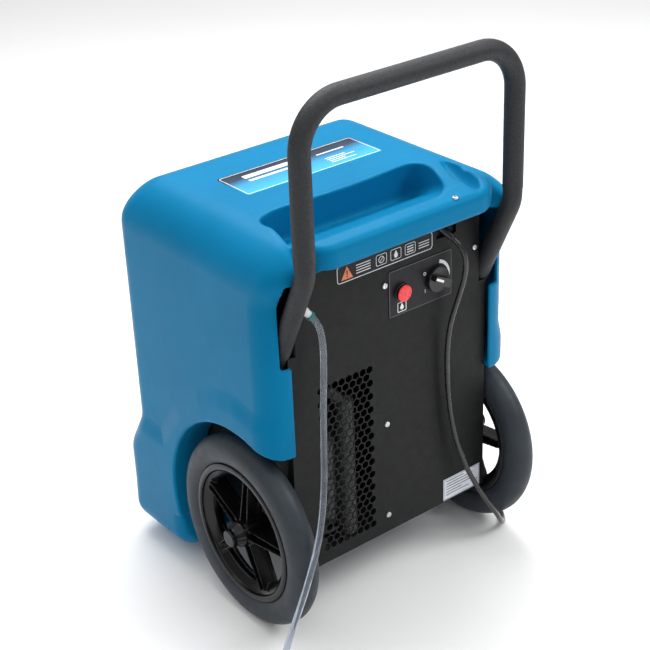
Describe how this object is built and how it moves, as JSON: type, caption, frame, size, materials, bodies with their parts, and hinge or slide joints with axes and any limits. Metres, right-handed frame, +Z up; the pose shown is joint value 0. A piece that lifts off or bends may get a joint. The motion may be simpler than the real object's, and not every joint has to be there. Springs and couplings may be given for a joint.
{
  "type": "portable dehumidifier",
  "caption": "Wheeled refrigerant dehumidifier for drying buildings: moulded hood over a steel chassis, tubular push handle, two large wheels, rear controls, drain hose and mains lead.",
  "frame": {"origin": "on the floor under the middle of the machine, leaving out the free mains lead and drain hose", "axes": "+Z up; -Y towards the rear panel and the person pushing; +Y towards the air intake; +X to the right seen from the rear panel"},
  "size_m": [0.805, 0.6564, 0.8553],
  "materials": {
    "hood_plastic": "rotomoulded polyethylene, satin",
    "panel_paint": "black powder coat",
    "galvanised": "galvanised sheet",
    "handle_paint": "black powder coat",
    "grip_rubber": "textured foam rubber",
    "zinc_screw": "zinc plated",
    "tyre_rubber": "grey solid rubber",
    "hub_plastic": "glossy black nylon",
    "bush_bronze": "sintered bronze",
    "axle_steel": "turned steel",
    "foot_rubber": "moulded rubber",
    "black_plastic": "moulded",
    "button_red": "gloss",
    "label_black": "laminated label",
    "label_white": "laminated label",
    "label_blue": "laminated label",
    "fitting_white": "moulded acetal",
    "collar_green": "moulded",
    "compressor_paint": "black enamel",
    "coil_aluminium": "fin stock",
    "copper": "copper tube",
    "insulation": "closed-cell foam sleeve",
    "grey_plastic": "moulded",
    "filter_mesh": "woven filter mat",
    "cable_rubber": "smooth flexible lead",
    "clear_vinyl": "clear PVC hose"
  },
  "bodies": {
    "root": {"axle_fasteners": "zinc_screw", "base_pan": "galvanised", "compressor": "compressor_paint", "compressor_grommets": "foot_rubber", "condenser": "coil_aluminium", "control_plate": "label_black", "discharge_pipe": "copper", "drain_elbow": "fitting_white", "drain_hose": "clear_vinyl", "drain_pump": "black_plastic", "drip_tray": "grey_plastic", "electrical_box": "galvanised", "evaporator": "coil_aluminium", "fan_motor": "compressor_paint", "fan_shroud": "galvanised", "filter_panel": "filter_mesh", "frame_bolts": "zinc_screw", "front_feet": "foot_rubber", "handle_grip": "grip_rubber", "handle_tube": "handle_paint", "hazard_label": "label_black", "hose_coil": "clear_vinyl", "hose_collar": "collar_green", "hose_end_fitting": "black_plastic", "housing_shell": "hood_plastic", "humidistat": "grey_plastic", "inner_hose": "clear_vinyl", "inner_lead": "cable_rubber", "intake_grille": "black_plastic", "liquid_line": "copper", "mains_coil": "cable_rubber", "mains_cord": "cable_rubber", "mains_plug": "cable_rubber", "panel_fasteners": "zinc_screw", "pump_tank": "grey_plastic", "purge_switch": "black_plastic", "rating_label": "label_white", "rear_panel": "panel_paint", "side_plate_left": "panel_paint", "side_plate_right": "panel_paint", "strain_relief": "cable_rubber", "stub_axle_left": "axle_steel", "stub_axle_right": "axle_steel", "suction_pipe": "insulation", "tank_lid": "grey_plastic", "top_label": "label_blue"},
    "wheel_left": {"tyre_left": "tyre_rubber", "wheel_hub_left": "hub_plastic", "hub_bush_left": "bush_bronze", "hub_cap_left": "hub_plastic"},
    "wheel_right": {"tyre_right": "tyre_rubber", "wheel_hub_right": "hub_plastic", "hub_bush_right": "bush_bronze", "hub_cap_right": "hub_plastic"},
    "knob": {"control_knob": "black_plastic", "knob_shaft": "axle_steel"},
    "button": {"purge_button": "button_red"},
    "fan": {"fan_impeller": "coil_aluminium", "fan_shaft": "axle_steel"},
    "float": {"tank_float": "fitting_white"}
  },
  "joints": [
    {"name": "wheel_left_spin", "type": "hinge", "parent": "root", "child": "wheel_left", "pos_m": [-0.217, -0.085, 0.1524], "axis": [1, 0, 0], "continuous": true},
    {"name": "wheel_right_spin", "type": "hinge", "parent": "root", "child": "wheel_right", "pos_m": [0.217, -0.085, 0.1524], "axis": [1, 0, 0], "continuous": true},
    {"name": "knob_turn", "type": "hinge", "parent": "root", "child": "knob", "pos_m": [0.0874, -0.165, 0.4954], "axis": [0, 1, 0], "range_deg": [0, 270]},
    {"name": "button_press", "type": "slide", "parent": "root", "child": "button", "axis": [0, 1, 0], "range_m": [0, 0.003], "stiffness_N_per_m": 600, "springref_m": -0.0015},
    {"name": "fan_spin", "type": "hinge", "parent": "root", "child": "fan", "pos_m": [0, 0.025, 0.372], "axis": [0, 1, 0], "continuous": true},
    {"name": "float_rise", "type": "slide", "parent": "root", "child": "float", "axis": [0, 0, 1], "range_m": [0, 0.03]}
  ]
}
